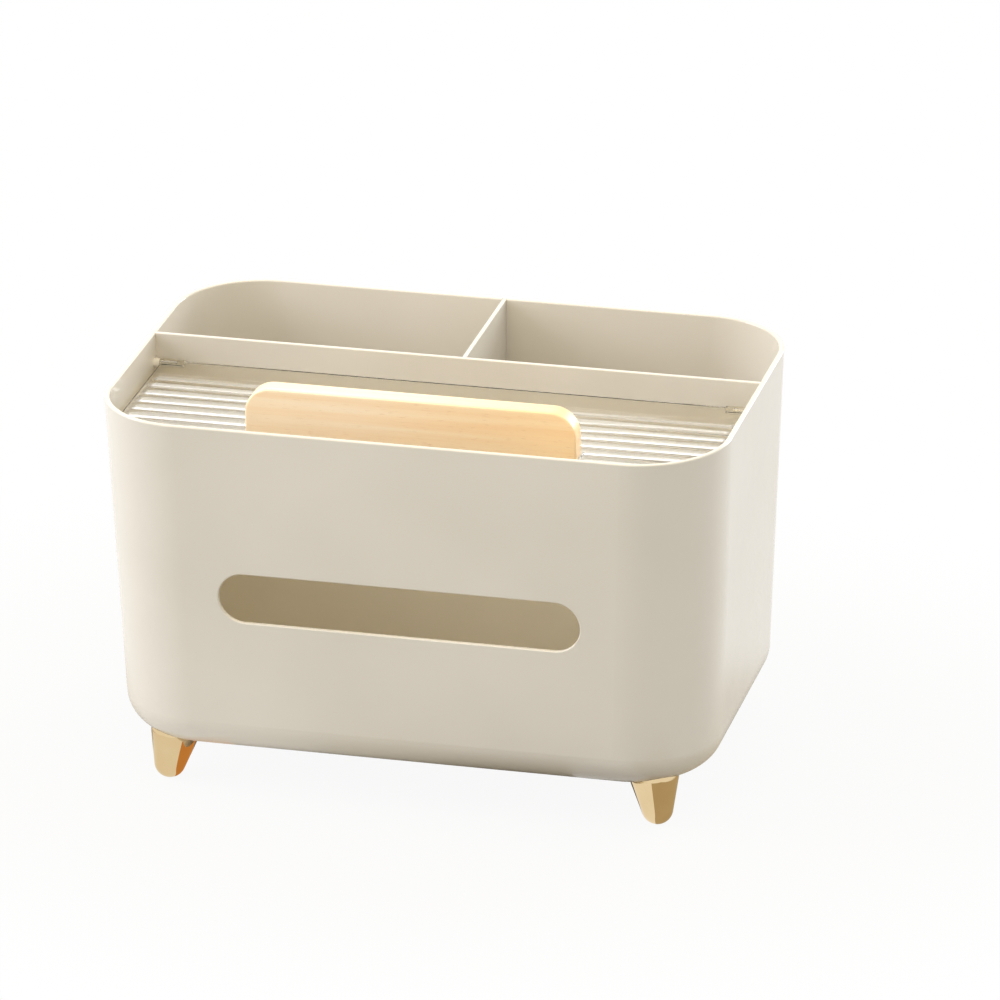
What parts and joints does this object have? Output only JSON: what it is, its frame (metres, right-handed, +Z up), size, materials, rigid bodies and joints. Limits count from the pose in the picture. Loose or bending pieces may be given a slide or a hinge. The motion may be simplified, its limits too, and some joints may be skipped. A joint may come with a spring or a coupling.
{
  "type": "tissue box holder",
  "caption": "Moulded tub on splayed legs with a front tissue slot, a clear fluted flip lid with a wooden pull over the tissue bay, and open storage bays behind.",
  "frame": {"origin": "middle of the tub, on the surface that the legs stand on", "axes": "+Z up, -Y towards the front with the tissue slot, +X to the right seen from the front"},
  "size_m": [0.24, 0.156, 0.1599],
  "materials": {
    "moulded_tub": "cream injection moulding, satin to glossy",
    "clear_lid": "clear fluted plastic, glossy",
    "beech": "pale beech, sanded and oiled",
    "plated_leg": "champagne gold electroplated plastic, mirror gloss",
    "steel": "bright zinc plated"
  },
  "bodies": {
    "tub": {"shell": "moulded_tub", "bay_divider": "moulded_tub", "storage_divider": "moulded_tub", "leg_front_left": "plated_leg", "leg_front_right": "plated_leg", "leg_rear_left": "plated_leg", "leg_rear_right": "plated_leg", "leg_screws": "steel"},
    "lid": {"lid_panel": "clear_lid", "lid_handle": "beech", "handle_screws": "steel", "hinge_pin_left": "clear_lid", "hinge_pin_right": "clear_lid"}
  },
  "joints": [
    {"name": "lid_hinge", "type": "hinge", "parent": "tub", "child": "lid", "pos_m": [0, 0.0094, 0.14], "axis": [-1, 0, 0], "range_deg": [0, 95]}
  ]
}
